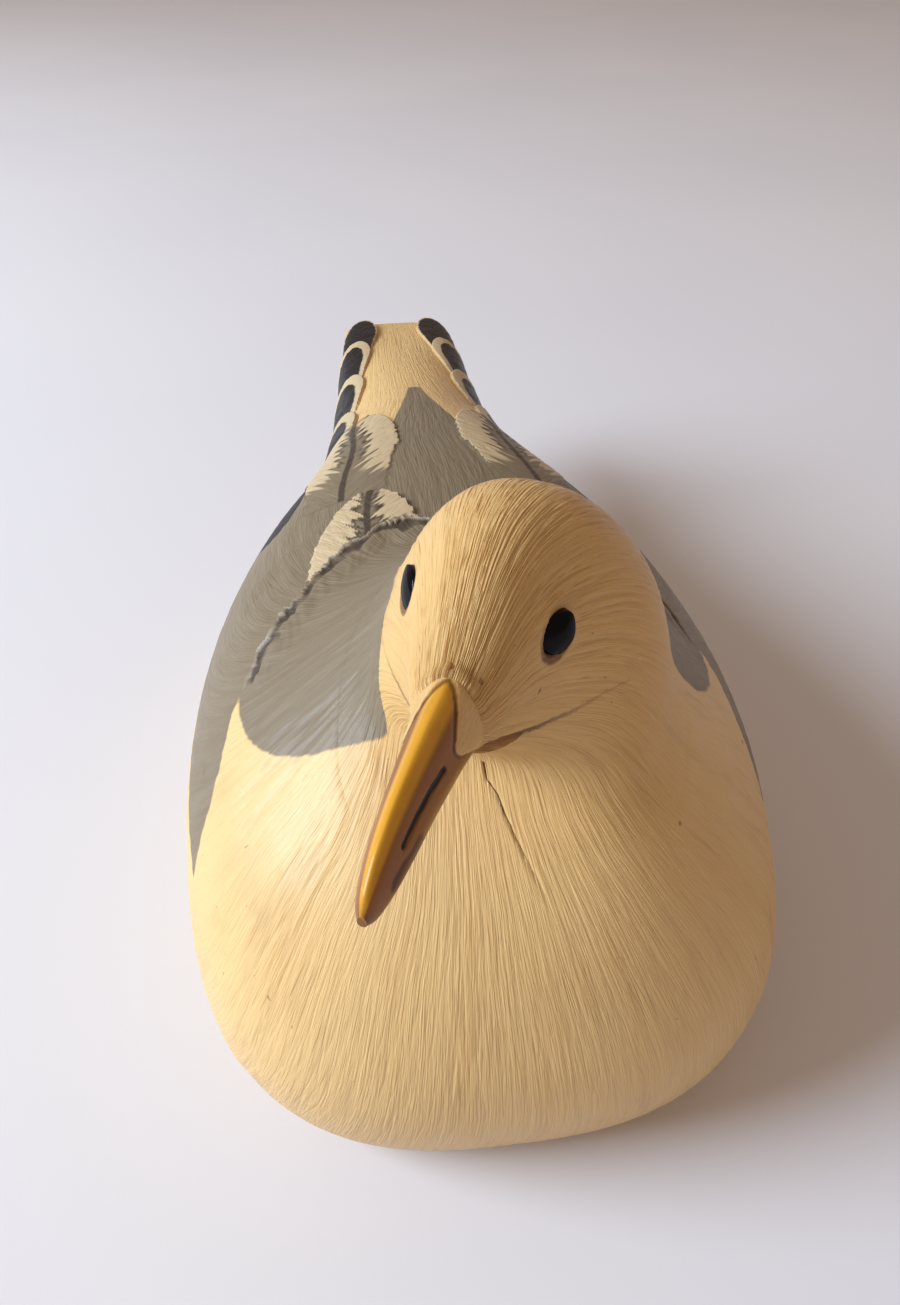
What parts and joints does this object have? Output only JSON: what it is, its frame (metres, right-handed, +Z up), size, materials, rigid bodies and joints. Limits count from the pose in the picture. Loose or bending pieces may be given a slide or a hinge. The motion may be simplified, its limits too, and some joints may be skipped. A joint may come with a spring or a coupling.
{
  "type": "seagull decoy",
  "caption": "Carved and painted seagull resting on a flat underside, head turned to one side, with inset glass eyes.",
  "frame": {"origin": "middle of the bounding box at the flat underside, on the surface the carving rests on", "axes": "+Z up; the gull's breast faces -Y and its tail points to +Y; +X is the gull's left side"},
  "size_m": [0.1536, 0.3542, 0.155],
  "materials": {
    "painted_carving": "carved feather grooves, painted cream, grey, black and ochre under a satin varnish",
    "black_glass": "polished opaque black glass"
  },
  "bodies": {
    "root": {"gull": "painted_carving", "eye_left": "black_glass", "eye_right": "black_glass"}
  },
  "joints": []
}
